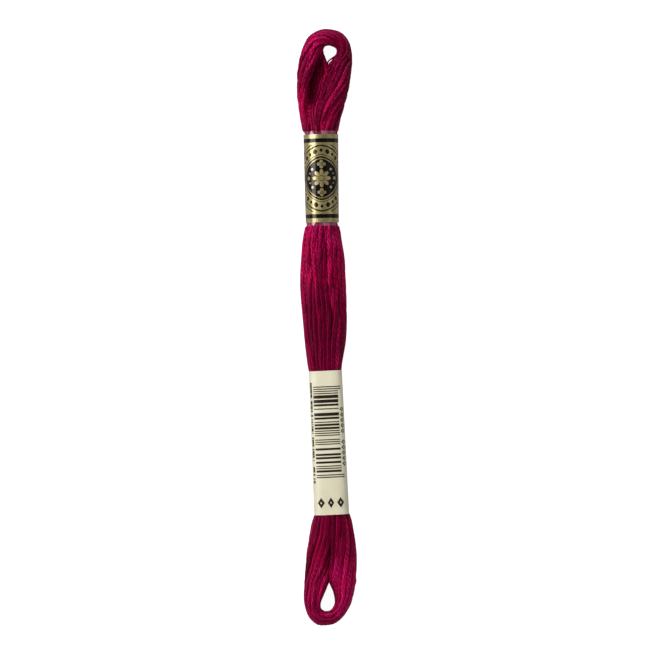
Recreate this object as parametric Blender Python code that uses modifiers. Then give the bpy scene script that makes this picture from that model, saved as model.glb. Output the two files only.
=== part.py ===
"""Skein of stranded embroidery floss: one wound hank with an eye at each end, held by two printed bands.

The skein lies on its back on the plane z = 0. X runs across it, +Y points to its upper eye and +Z up.
Blender units are metres; the tables below are in millimetres and are scaled by MM where they are used.
"""

import math
from collections import namedtuple

import bmesh
import bpy
from mathutils import Vector

MM = 0.001

# Fits
GAP = 0.3  # clearance between the floss and a band
BAND_WALL = 1.0  # thickness of a band's sleeve
SINK = 0.45  # how far the round underside is flattened where it rests

# Threads that show as ridges round each arm of the hank
RIDGES = 12
POINTS_PER_RIDGE = 3
RING = RIDGES * POINTS_PER_RIDGE
RIDGE_DEPTH = 0.38
NECK_RIDGE_DEPTH = 0.12
RIGHT_ARM_SHIFT = 37  # the right arm's threads are uneven in other places than the left arm's

# Spacing of the sections that are read from the tables
ARM_STEP = 2.4
LOOP_SECTIONS = 24
NECK_SECTIONS = 3

# The two arms of the hank lie side by side. Going down the skein: where the section is, the left and right
# outlines, the groove between the arms, how far they have parted (0 one oval, 1 two ovals), the thickness
# of each arm, and how many degrees the section is turned in the plane of the surface.
Course = namedtuple("Course", "y left right groove parting thick_left thick_right turned")
UPPER_PART = (
    Course(72.1, -7.85, 6.95, 0.33, 0.85, 6.4, 7.0, 0.0),
    Course(68.6, -8.30, 6.50, -0.90, 0.74, 6.6, 7.6, 0.0),
    Course(64.6, -8.30, 5.95, -2.00, 0.56, 6.9, 8.0, 0.3),
    Course(60.2, -7.80, 4.70, -2.80, 0.34, 7.4, 8.2, 0.6),
    Course(56.6, -7.28, 3.70, -2.40, 0.14, 8.0, 8.4, 0.9),
    Course(53.8, -6.80, 3.25, -1.80, 0.00, 8.7, 8.7, 1.0),
)
WAIST = (
    Course(27.4, -6.05, 3.45, -1.30, 0.00, 8.8, 8.8, 1.0),
    Course(24.6, -6.60, 3.95, -1.25, 0.06, 9.0, 9.0, 1.1),
    Course(20.0, -7.02, 4.75, -1.10, 0.12, 9.2, 9.1, 1.3),
    Course(11.9, -7.40, 5.25, -1.00, 0.10, 9.3, 9.2, 1.6),
    Course(3.1, -6.80, 5.55, -0.60, 0.12, 9.2, 9.2, 2.0),
    Course(-5.6, -6.00, 5.00, -0.50, 0.08, 9.0, 9.0, 2.4),
    Course(-11.4, -5.10, 4.10, -0.50, 0.00, 8.7, 8.7, 2.6),
)
LOWER_PART = (
    Course(-51.3, -3.70, 6.30, 1.30, 0.00, 8.7, 8.7, 2.6),
    Course(-55.9, -4.70, 7.45, 1.30, 0.20, 8.3, 8.3, 2.0),
    Course(-60.2, -5.40, 8.10, 1.20, 0.44, 7.9, 7.8, 1.2),
    Course(-64.6, -5.90, 8.25, 0.90, 0.68, 7.4, 7.3, 0.5),
    Course(-69.3, -6.20, 8.25, 0.50, 0.85, 6.9, 6.8, 0.0),
)

# Past the parting each arm is free, and bends round its eye: the rim of the eye, the outline of the skein
# opposite it, and the thickness between. Both tables run clockwise, from one side of the parting to the other.
Bend = namedtuple("Bend", "eye_x eye_y rim_x rim_y thick")
UPPER_LOOP = (
    Bend(0.33, 72.10, -7.85, 72.10, 6.4),
    Bend(-0.50, 74.20, -7.45, 74.20, 6.4),
    Bend(-0.95, 75.90, -6.45, 77.20, 6.4),
    Bend(-0.55, 76.95, -4.60, 79.95, 6.3),
    Bend(0.45, 77.25, -0.60, 81.50, 6.2),
    Bend(1.60, 76.95, 3.60, 80.70, 6.2),
    Bend(2.60, 75.95, 6.10, 78.20, 6.3),
    Bend(2.45, 74.60, 6.85, 75.00, 6.5),
    Bend(1.45, 73.30, 6.95, 73.30, 6.8),
    Bend(0.33, 72.10, 6.95, 72.10, 7.0),
)
LOWER_LOOP = (
    Bend(0.50, -69.30, 8.25, -69.30, 6.8),
    Bend(1.75, -72.20, 7.55, -72.60, 6.6),
    Bend(2.20, -74.90, 6.30, -76.00, 6.4),
    Bend(1.50, -76.80, 4.30, -79.10, 6.3),
    Bend(0.40, -77.60, 1.70, -81.05, 6.2),
    Bend(-0.80, -77.50, -1.70, -81.40, 6.2),
    Bend(-1.80, -76.50, -4.50, -79.80, 6.3),
    Bend(-1.65, -74.90, -5.90, -77.00, 6.4),
    Bend(-0.60, -72.40, -6.40, -73.60, 6.6),
    Bend(0.50, -69.30, -6.20, -69.30, 6.9),
)
LOOP_PARTING = 0.85

# Each band is an oval sleeve: its middle, length, half widths at its upper and lower end, half height, the
# height of its axis above the surface and how far it is turned.
Band = namedtuple("Band", "name x y length half_upper half_lower half_height axis_z turned")
UPPER_BAND = Band("upper_band", -1.47, 40.60, 25.8, 4.78, 4.55, 4.15, 4.35, 1.0)
LOWER_BAND = Band("lower_band", 0.42, -31.35, 39.2, 4.55, 4.78, 4.05, 4.25, 2.6)
BAND_SIDES = 48

Finish = namedtuple("Finish", "name colour roughness metallic")
FLOSS = Finish("crimson_cotton", (0.24, 0.002, 0.03, 1.0), 0.55, 0.0)
GOLD_FILM = Finish("gold_film", (0.38, 0.30, 0.11, 1.0), 0.25, 0.6)
CREAM_LABEL = Finish("cream_label", (0.76, 0.70, 0.52, 1.0), 0.6, 0.0)

# One arm's share of a section, from its inner point (at the groove or the eye) to its outer point.
ArmSection = namedtuple("ArmSection", "inner outer open_angle half_height centre_z depth")


def clear_scene():
    """Removes whatever the file opened with."""
    for obj in list(bpy.data.objects):
        bpy.data.objects.remove(obj)


def material(finish):
    """A Principled material in the finish's colour."""
    made = bpy.data.materials.new(finish.name)
    made.use_nodes = True
    shader = made.node_tree.nodes["Principled BSDF"]
    shader.inputs["Base Color"].default_value = finish.colour
    shader.inputs["Roughness"].default_value = finish.roughness
    shader.inputs["Metallic"].default_value = finish.metallic
    return made


def blended(rows, position):
    """The table's row at a fractional position, on a smooth curve through its rows (Catmull-Rom)."""
    last = len(rows) - 1
    k = min(int(position), last - 1)
    t = position - k
    before, start, end, after = (rows[min(max(k + i, 0), last)] for i in (-1, 0, 1, 2))
    return type(start)(
        *(
            b + 0.5 * t * (c - a + t * (2 * a - 5 * b + 4 * c - d + t * (3 * (b - c) + d - a)))
            for a, b, c, d in zip(before, start, end, after)
        )
    )


def spread(rows, count):
    """count sections, evenly spaced along the table's rows."""
    return [blended(rows, i * (len(rows) - 1) / (count - 1)) for i in range(count)]


def by_step(rows):
    """Sections of a part of the body, about ARM_STEP apart."""
    return spread(rows, round(abs(rows[0].y - rows[-1].y) / ARM_STEP) + 1)


def open_angle(parting):
    """Half the angle that an arm's oval leaves open towards the other arm."""
    return math.radians(90) * (1 - parting)


def both_arms(course):
    """The left and the right arm's share of a section of the body."""
    slope = math.tan(math.radians(course.turned))
    groove = Vector((course.groove, course.y + slope * course.groove))
    sections = []
    for outline, thick in ((course.left, course.thick_left), (course.right, course.thick_right)):
        outer = Vector((outline, course.y + slope * outline))
        half_height = thick / 2
        sections.append(
            ArmSection(
                groove, outer, open_angle(course.parting), half_height, half_height - SINK, RIDGE_DEPTH
            )
        )
    return sections


def neck(band):
    """Sections of the floss inside a band, pulled in to clear the sleeve."""
    pinch = BAND_WALL + GAP
    turn = math.radians(band.turned)
    along = Vector((math.sin(turn), -math.cos(turn)))
    across = Vector((math.cos(turn), math.sin(turn)))
    reach = band.length / 2 + GAP
    found = []
    for i in range(NECK_SECTIONS):
        share = i / (NECK_SECTIONS - 1)
        middle = Vector((band.x, band.y)) + along * reach * (2 * share - 1)
        half_width = band.half_upper + (band.half_lower - band.half_upper) * share - pinch
        half_height = band.half_height - pinch
        found.append(
            [
                ArmSection(
                    middle,
                    middle + across * side * half_width,
                    open_angle(0),
                    half_height,
                    band.axis_z,
                    NECK_RIDGE_DEPTH,
                )
                for side in (-1, 1)
            ]
        )
    return found


def free_arm(bend):
    """The section of an arm that bends round an eye."""
    half_height = bend.thick / 2
    return ArmSection(
        Vector((bend.eye_x, bend.eye_y)),
        Vector((bend.rim_x, bend.rim_y)),
        open_angle(LOOP_PARTING),
        half_height,
        half_height - SINK,
        RIDGE_DEPTH,
    )


def dent(index, travel, depth):
    """How far a point of a ring lies inside the oval: deep between two threads, and a little uneven on them."""
    ridge, place = divmod(index, POINTS_PER_RIDGE)
    if place == 0:
        return depth * (0.8 + 0.2 * math.sin(1.9 * ridge + travel / 9))
    return depth * (0.05 + 0.35 * math.sin(2.6 * ridge + travel / 13))


def ring(section, travel):
    """The points of an arm's section, over its top, round its outer side and back underneath."""
    across = section.outer - section.inner
    width = across.length
    across.normalize()
    half_width = width / (1 + math.cos(section.open_angle))
    points = []
    for i in range(RING + 1):
        angle = section.open_angle + (math.tau - 2 * section.open_angle) * i / RING
        inside = dent(i, travel, section.depth) if 0 < i < RING else 0
        place = width - half_width - (half_width - inside) * math.cos(angle)
        height = section.centre_z + (section.half_height - inside) * math.sin(angle)
        spot = section.inner + across * place
        points.append(Vector((spot.x, spot.y, max(height, 0))))
    return points


def share_groove(left, right):
    """Brings the points that two arms have in common at the groove to one place."""
    for end in (0, RING):
        z = (left[end].z + right[end].z) / 2 - (RIDGE_DEPTH / 2 if end == 0 else 0)
        for points in (left, right):
            points[end].z = max(z, 0)


def loop_rings(rows, travel_in, travel_out):
    """The rings of a free arm round its eye, with the unevenness of its threads running on from arm to arm."""
    found = []
    for i, bend in enumerate(spread(rows, LOOP_SECTIONS)):
        share = i / (LOOP_SECTIONS - 1)
        found.append(ring(free_arm(bend), travel_in + (travel_out - travel_in) * share))
    return found


def hank_rings():
    """The rings of the whole hank in one closed round: up the left arm, round the upper eye, down the right arm
    and round the lower eye. Returns them with, for each, whether the ring to the next one is closed."""
    upper, waist, lower = (list(map(both_arms, by_step(rows))) for rows in (UPPER_PART, WAIST, LOWER_PART))
    body = upper + neck(UPPER_BAND) + waist + neck(LOWER_BAND) + lower
    pairs = []
    for left, right in body:
        travel = left.inner.y
        pair = ring(left, travel), ring(right, travel + RIGHT_ARM_SHIFT)
        share_groove(*pair)
        pairs.append(pair)
    upper_loop = loop_rings(UPPER_LOOP, UPPER_PART[0].y, UPPER_PART[0].y + RIGHT_ARM_SHIFT)
    lower_loop = loop_rings(LOWER_LOOP, LOWER_PART[-1].y + RIGHT_ARM_SHIFT, LOWER_PART[-1].y)
    rings, closed = [], []
    for left, _ in reversed(pairs):
        rings.append(left)
        closed.append(False)
    closed[-1] = True
    for points in upper_loop[1:-1]:
        rings.append(points)
        closed.append(True)
    for _, right in pairs:
        rings.append(right)
        closed.append(False)
    closed[-1] = True
    for points in lower_loop[1:-1]:
        rings.append(points)
        closed.append(True)
    return rings, closed


def hank(collection):
    """The wound floss as one solid, ridged along its threads."""
    rings, closed = hank_rings()
    shape = bmesh.new()
    grid = [[shape.verts.new(point * MM) for point in points] for points in rings]
    for k, here in enumerate(grid):
        there = grid[(k + 1) % len(grid)]
        for i in range(RING):
            shape.faces.new((here[i], here[i + 1], there[i + 1], there[i]))
        if closed[k]:
            shape.faces.new((here[RING], here[0], there[0], there[RING]))
    bmesh.ops.remove_doubles(shape, verts=shape.verts, dist=0.001 * MM)
    bmesh.ops.recalc_face_normals(shape, faces=shape.faces)
    mesh = bpy.data.meshes.new("hank")
    shape.to_mesh(mesh)
    shape.free()
    mesh.shade_smooth()
    mesh.materials.append(material(FLOSS))
    obj = bpy.data.objects.new("hank", mesh)
    collection.objects.link(obj)
    return obj


def sleeve(band, finish, collection):
    """A band: an open tube, made oval and tapered, turned to lie along the hank and thickened inwards."""
    bpy.ops.mesh.primitive_cylinder_add(
        vertices=BAND_SIDES, radius=MM, depth=band.length * MM, end_fill_type="NOTHING"
    )
    obj = bpy.context.object
    obj.name = obj.data.name = band.name
    for vertex in obj.data.vertices:
        # The tube's +Z end becomes the upper end once it lies down.
        vertex.co.x *= band.half_upper if vertex.co.z > 0 else band.half_lower
        vertex.co.y *= band.half_height
    obj.location = Vector((band.x, band.y, band.axis_z)) * MM
    obj.rotation_euler = (math.radians(-90), 0, math.radians(band.turned))
    wall = obj.modifiers.new("wall", "SOLIDIFY")
    wall.thickness = BAND_WALL * MM
    wall.offset = -1
    wall.use_even_offset = True
    obj.data.shade_smooth()
    obj.data.materials.append(material(finish))
    for owner in list(obj.users_collection):
        owner.objects.unlink(obj)
    collection.objects.link(obj)
    return obj


def main():
    """Builds the skein in its own collection."""
    clear_scene()
    collection = bpy.data.collections.new("floss_skein")
    bpy.context.scene.collection.children.link(collection)
    hank(collection)
    sleeve(UPPER_BAND, GOLD_FILM, collection)
    sleeve(LOWER_BAND, CREAM_LABEL, collection)


if __name__ == "__main__":
    main()
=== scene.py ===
"""A skein of stranded embroidery floss: turns of six-strand cotton, a film band and a paper label.

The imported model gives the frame. Every strand of every turn is laid, packed against its neighbours and drawn
as a soft tube. The two bands are wrapped sheets with printed faces.
"""

import logging
import math
from collections.abc import Callable
from dataclasses import dataclass, field
from enum import Enum
from functools import partial, reduce
from typing import NamedTuple

import bpy
import numpy as np
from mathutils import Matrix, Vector


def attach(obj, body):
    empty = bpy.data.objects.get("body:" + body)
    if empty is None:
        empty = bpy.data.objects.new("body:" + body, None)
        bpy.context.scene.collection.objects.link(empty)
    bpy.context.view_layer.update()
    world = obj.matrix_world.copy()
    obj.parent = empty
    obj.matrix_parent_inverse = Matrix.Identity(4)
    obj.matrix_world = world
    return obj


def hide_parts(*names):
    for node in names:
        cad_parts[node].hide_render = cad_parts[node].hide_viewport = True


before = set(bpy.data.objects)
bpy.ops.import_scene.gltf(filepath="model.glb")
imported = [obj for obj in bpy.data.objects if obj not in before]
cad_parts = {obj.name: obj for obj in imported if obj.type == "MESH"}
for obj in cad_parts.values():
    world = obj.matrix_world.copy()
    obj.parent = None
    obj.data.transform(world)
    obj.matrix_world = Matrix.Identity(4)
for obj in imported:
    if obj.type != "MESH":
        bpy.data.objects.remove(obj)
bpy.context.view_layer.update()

MM = 0.001
SEED = 41
GOLDEN_ANGLE = math.pi * (3 - math.sqrt(5))
WHITE = (1.0, 1.0, 1.0, 1.0)
LOG = logging.getLogger("floss_skein")

Array = np.ndarray
Colour = tuple[float, float, float, float]
Material = bpy.types.Material
Object = bpy.types.Object
Socket = bpy.types.NodeSocket
Tree = bpy.types.NodeTree


class Side(Enum):
    """The four stretches of the hank, in the order in which a turn runs through them."""

    LEFT = 0
    UPPER_EYE = 1
    RIGHT = 2
    LOWER_EYE = 3


class Course(NamedTuple):
    """A cross-section of the two arms where they lie side by side, in millimetres and degrees.

    lift is the height of the section's lowest point before the surface flattens it. shelf is the share of
    the left arm's height that its inner threads keep. Each arm's threads are rolled about its middle.
    """

    y: float
    left: float
    right: float
    groove: float
    parting: float
    thick_left: float
    thick_right: float
    lift: float
    turned: float
    shelf: float
    roll_left: float
    roll_right: float


class Bend(NamedTuple):
    """A cross-section of an arm that goes round an eye, from the eye's rim to the outline."""

    eye_x: float
    eye_y: float
    rim_x: float
    rim_y: float
    thick: float
    lift: float
    shelf: float
    roll: float


COURSES: tuple[Course, ...] = (
    Course(72.1, -7.85, 6.90, 0.33, 0.84, 6.9, 7.0, -0.45, 0.0, 0.50, -2, 203),
    Course(68.6, -8.30, 6.58, 0.20, 0.74, 7.4, 7.6, -0.45, 0.0, 0.33, -22, 222),
    Course(64.6, -8.30, 5.92, -0.85, 0.64, 7.8, 8.0, -0.45, 0.3, 0.28, -28, 244),
    Course(60.2, -7.85, 4.70, -2.35, 0.46, 8.0, 8.3, -0.45, 0.6, 0.35, -30, 266),
    Course(56.6, -7.28, 3.70, -2.40, 0.20, 8.2, 8.5, -0.40, 0.9, 0.64, -30, 280),
    Course(54.35, -6.86, 3.26, -1.80, 0.00, 8.5, 8.5, -0.05, 1.0, 1.00, -30, 287),
    Course(53.95, -6.76, 3.18, -1.75, 0.00, 8.4, 8.4, 0.05, 1.0, 1.00, -30, 289),
    Course(53.55, -6.40, 3.02, -1.70, 0.00, 8.04, 8.04, 0.33, 1.0, 1.00, -30, 290),
    Course(40.6, -6.05, 3.11, -1.47, 0.00, 8.04, 8.04, 0.33, 1.0, 1.00, -27, 326),
    Course(27.65, -5.72, 3.22, -1.25, 0.00, 8.04, 8.04, 0.33, 1.0, 1.00, -23, 352),
    Course(27.25, -6.08, 3.44, -1.28, 0.00, 8.4, 8.4, 0.05, 1.0, 1.00, -22, 352),
    Course(26.85, -6.20, 3.56, -1.30, 0.00, 8.55, 8.55, -0.08, 1.0, 1.00, -22, 353),
    Course(24.6, -6.65, 3.95, -1.25, 0.06, 8.9, 8.9, -0.40, 1.1, 1.00, -21, 356),
    Course(20.0, -7.08, 4.75, -1.10, 0.10, 9.3, 9.3, -0.45, 1.3, 1.00, -19, 359),
    Course(11.9, -7.42, 5.25, -1.00, 0.08, 9.3, 9.2, -0.45, 1.6, 1.00, -16, 360),
    Course(3.1, -6.80, 5.55, -0.60, 0.10, 8.9, 8.9, -0.45, 2.0, 1.00, -13, 360),
    Course(-5.6, -6.00, 5.00, -0.50, 0.06, 8.4, 8.4, -0.35, 2.4, 1.00, -10, 360),
    Course(-10.9, -5.26, 4.16, -0.50, 0.00, 8.05, 8.05, 0.12, 2.6, 1.00, -8, 360),
    Course(-11.3, -5.18, 4.12, -0.50, 0.00, 8.0, 8.0, 0.18, 2.6, 1.00, -8, 360),
    Course(-11.7, -4.97, 4.04, -0.47, 0.00, 7.84, 7.84, 0.33, 2.6, 1.00, -7, 360),
    Course(-31.4, -4.19, 5.03, 0.42, 0.00, 7.84, 7.84, 0.33, 2.6, 1.00, 52, 360),
    Course(-51.0, -3.42, 6.02, 1.30, 0.00, 7.84, 7.84, 0.33, 2.6, 1.00, 112, 360),
    Course(-51.4, -3.74, 6.36, 1.30, 0.00, 8.1, 8.1, 0.08, 2.6, 1.00, 113, 360),
    Course(-51.8, -3.90, 6.52, 1.30, 0.02, 8.2, 8.2, -0.05, 2.6, 1.00, 114, 360),
    Course(-55.9, -4.75, 7.45, 1.30, 0.14, 8.3, 8.3, -0.42, 2.0, 1.00, 112, 362),
    Course(-60.2, -5.45, 8.10, 1.20, 0.30, 7.9, 7.9, -0.45, 1.2, 1.00, 100, 366),
    Course(-64.6, -5.90, 8.22, 0.90, 0.40, 7.4, 7.4, -0.45, 0.5, 1.00, 78, 373),
    Course(-69.5, -6.20, 7.98, 0.50, 0.60, 6.9, 6.8, -0.45, 0.0, 1.00, 48, 382),
)

UPPER_BENDS: tuple[Bend, ...] = (
    Bend(0.33, 72.10, -7.85, 72.10, 6.9, -0.45, 0.50, -2),
    Bend(-0.50, 74.20, -7.45, 74.20, 6.8, -0.45, 0.62, 22),
    Bend(-0.95, 75.90, -6.45, 77.20, 6.7, -0.45, 0.82, 52),
    Bend(-0.55, 76.85, -4.60, 80.05, 6.6, -0.45, 1.00, 84),
    Bend(0.45, 77.05, -0.60, 81.75, 6.5, -0.45, 1.00, 112),
    Bend(1.60, 76.80, 3.60, 80.90, 6.5, -0.45, 1.00, 138),
    Bend(2.60, 75.95, 6.10, 78.20, 6.5, -0.45, 1.00, 160),
    Bend(2.45, 74.60, 6.85, 75.00, 6.6, -0.45, 1.00, 178),
    Bend(1.45, 73.30, 6.94, 73.30, 6.8, -0.45, 1.00, 192),
    Bend(0.33, 72.10, 6.90, 72.10, 7.0, -0.45, 1.00, 203),
)

LOWER_BENDS: tuple[Bend, ...] = (
    Bend(0.50, -69.50, 7.98, -69.50, 6.8, -0.45, 1.00, 22),
    Bend(1.75, -72.20, 7.42, -72.60, 6.6, -0.45, 1.00, 31),
    Bend(2.20, -74.90, 6.40, -76.00, 6.4, -0.45, 1.00, 39),
    Bend(1.50, -76.80, 4.35, -79.20, 6.3, -0.45, 1.00, 46),
    Bend(0.40, -77.60, 1.70, -81.15, 6.2, -0.45, 1.00, 51),
    Bend(-0.80, -77.50, -1.70, -81.50, 6.2, -0.45, 1.00, 54),
    Bend(-1.80, -76.50, -4.50, -79.85, 6.3, -0.45, 1.00, 55),
    Bend(-1.65, -74.90, -5.90, -77.00, 6.4, -0.45, 1.00, 54),
    Bend(-0.60, -72.40, -6.40, -73.60, 6.6, -0.45, 1.00, 51),
    Bend(0.50, -69.50, -6.20, -69.50, 6.9, -0.45, 1.00, 48),
)


def hermite(knots: Array, values: Array, at: Array) -> Array:
    """Runs a smooth curve through a table's rows.

    Args:
        knots: the rising position of each row.
        values: the rows.
        at: the positions asked for.

    Returns:
        A row of values for each position.
    """
    gap = np.diff(knots)
    slope = np.diff(values, axis=0) / gap[:, None]
    tangent = np.empty_like(values)
    tangent[0], tangent[-1] = slope[0], slope[-1]
    share = (gap[1:] / (gap[1:] + gap[:-1]))[:, None]
    tangent[1:-1] = share * slope[:-1] + (1 - share) * slope[1:]
    turning = slope[:-1] * slope[1:] <= 0
    tangent[1:-1][turning] = 0
    k = np.clip(np.searchsorted(knots, at, side="right") - 1, 0, len(knots) - 2)
    width = gap[k][:, None]
    t = ((at - knots[k]) / gap[k])[:, None]
    return (
        (1 + 2 * t) * (1 - t) ** 2 * values[k]
        + t * (1 - t) ** 2 * width * tangent[k]
        + t**2 * (3 - 2 * t) * values[k + 1]
        + t**2 * (t - 1) * width * tangent[k + 1]
    )


@dataclass
class Stations:
    """Cross-sections all round the hank, in the order in which a turn runs through them.

    Each is a share of an oval, from an inner point at the groove or the eye to an outer point. Places in it
    are (out, up): the distance from the inner point towards the outer one, and the height.
    """

    inner: Array
    across: Array
    width: Array
    half_width: Array
    centre: Array
    half_height: Array
    centre_z: Array
    shelf: Array
    roll: Array
    side: Array
    arms: int
    bends_upper: int

    def brink(self) -> Array:
        """Where the hollow under the shelf ends, as a share of the width: the deeper it is, the wider."""
        return 0.12 + 0.62 * (1 - self.shelf)

    def turning(self) -> tuple[list[int], list[float]]:
        """Where the hank turns from its left arm to its right one and back, as stations and shares."""
        right = self.arms + self.bends_upper
        return [self.arms - 1, right, right + self.arms - 1, len(self.side)], [1.0, 0.0, 0.0, 1.0]

    def opposite(self) -> tuple[Array, Array]:
        """The stations of the left arm and those of the right arm beside them."""
        left = np.arange(self.arms)
        return left, 2 * self.arms + self.bends_upper - 1 - left

    def on_arms(self) -> Array:
        """Which stations are on the two arms."""
        return np.isin(self.side, (Side.LEFT.value, Side.RIGHT.value))

    def area(self) -> Array:
        """Area of each station's share of its oval."""
        start = np.clip(-self.centre / self.half_width, -1, 1)
        return self.half_width * self.half_height * (np.arccos(start) - start * np.sqrt(1 - start**2))

    def place(self, out: Array, up: Array) -> Array:
        """Points in space, in millimetres, for threads at (out, up) in each station."""
        flat = self.inner[:, None, :] + self.across[:, None, :] * out[:, :, None]
        return np.concatenate([flat, up[:, :, None]], axis=2)


@dataclass(frozen=True)
class HankForm:
    """The wound form of the hank, as the stations that its threads run through.

    A parting says where the inner point is in a section's oval, from 0 in its middle to 1 at its edge. The
    courses have their own, and eye_partings are those of the upper and the lower eye.
    """

    courses: tuple[Course, ...] = COURSES
    upper: tuple[Bend, ...] = UPPER_BENDS
    lower: tuple[Bend, ...] = LOWER_BENDS
    eye_partings: tuple[float, float] = (0.85, 0.62)

    def stations(self, heights: Array, bends: int) -> Stations:
        """Reads the tables at the given places.

        Args:
            heights: rising Y of the sections of the two arms.
            bends: how many sections there are round each eye.

        Returns:
            The stations of one whole turn.
        """
        table = np.array(self.courses)[::-1]
        rows = hermite(table[:, 0], table, heights)
        _, left, right, groove, parting, thick_left, thick_right, lift, turned, shelf, roll_l, roll_r = rows.T
        slope = np.tan(np.radians(turned))
        groove_y = heights + slope * groove
        arms = []
        for outline, thick, ledge, roll in (
            (left, thick_left, shelf, roll_l),
            (right, thick_right, np.ones_like(shelf), roll_r),
        ):
            outline_y = heights + slope * outline
            columns = (groove, groove_y, outline, outline_y, parting, thick, lift, ledge, roll)
            arms.append(np.stack(columns, axis=1))
        eyes = []
        for bend_rows, eye_parting in zip((self.upper, self.lower), self.eye_partings):
            table = np.array(bend_rows)
            at = np.linspace(0, len(table) - 1, bends + 2)[1:-1]
            eyes.append(np.insert(hermite(np.arange(float(len(table))), table, at), 4, eye_parting, axis=1))
        sections = np.concatenate([arms[0], eyes[0], arms[1][::-1], eyes[1]])
        inner, outer = sections[:, :2], sections[:, 2:4]
        parting, thick, lift, shelf, roll = sections[:, 4:].T
        width = np.linalg.norm(outer - inner, axis=1)
        half_width = width / (1 + np.cos(np.pi / 2 * (1 - parting)))
        return Stations(
            inner=inner,
            across=(outer - inner) / width[:, None],
            width=width,
            half_width=half_width,
            centre=width - half_width,
            half_height=thick / 2,
            centre_z=thick / 2 + lift,
            shelf=shelf,
            roll=np.radians(roll),
            side=np.repeat([s.value for s in Side], [len(heights), bends] * 2),
            arms=len(heights),
            bends_upper=bends,
        )


class PaintedShade(NamedTuple):
    """Painted light and shade across one height, and how far the floss is pressed smooth there.

    The arms are left and right of the groove or eye: each has its outline and its rim, each painted lighter or
    darker to stand in for how the light falls there. The last column changes the strands' shape, not their
    colour.
    """

    y: float
    left_outline: float
    left_rim: float
    right_rim: float
    right_outline: float
    pressed: float


# Painted light and shade: each row lightens or darkens the strands' tone at one height, across the arms, to
# stand in for how light and shade fall on the hank; the last column is how far it is pressed smooth.
PAINTED_SHADES: tuple[PaintedShade, ...] = (
    PaintedShade(-77.6, -0.6, -1.0, -2.2, 1.2, 0.4),
    PaintedShade(-76.0, -0.2, 2.4, -2.0, 2.2, 0.4),
    PaintedShade(-73.0, -1.8, 3.2, -1.3, 2.7, 0.4),
    PaintedShade(-69.5, -1.9, 2.2, 0.5, 1.4, 0.5),
    PaintedShade(-66.5, -1.5, 1.6, 0.5, 0.5, 0.6),
    PaintedShade(-63.0, -1.8, -0.5, -0.5, -0.5, 0.8),
    PaintedShade(-58.0, -0.8, -1.8, -1.5, -0.6, 0.9),
    PaintedShade(-52.0, -1.1, -1.6, -1.5, -0.2, 1.0),
    PaintedShade(-11.0, -1.1, -0.9, -0.6, -0.9, 1.0),
    PaintedShade(-4.0, -1.1, -2.6, -1.5, -1.1, 1.0),
    PaintedShade(6.0, -0.3, -2.3, -1.0, -0.6, 0.8),
    PaintedShade(15.0, 1.0, -0.8, 0.0, 0.3, 0.4),
    PaintedShade(27.0, 0.7, 0.5, 0.3, 0.4, 0.2),
    PaintedShade(54.0, -0.5, -1.0, -0.9, 0.3, 0.3),
    PaintedShade(59.0, 0.8, -0.1, -1.2, 0.0, 0.2),
    PaintedShade(63.5, 0.4, 0.4, -1.3, -0.5, 0.1),
    PaintedShade(67.5, -0.7, 1.2, -2.3, -0.6, 0.1),
    PaintedShade(71.0, -1.8, 1.5, -2.8, -1.6, 0.1),
    PaintedShade(73.5, -1.4, 0.0, -3.4, -3.0, 0.1),
    PaintedShade(75.5, 1.6, 2.8, -4.0, -3.8, 0.6),
    PaintedShade(77.0, 0.6, 2.8, -3.8, -4.2, 0.7),
)


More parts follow.
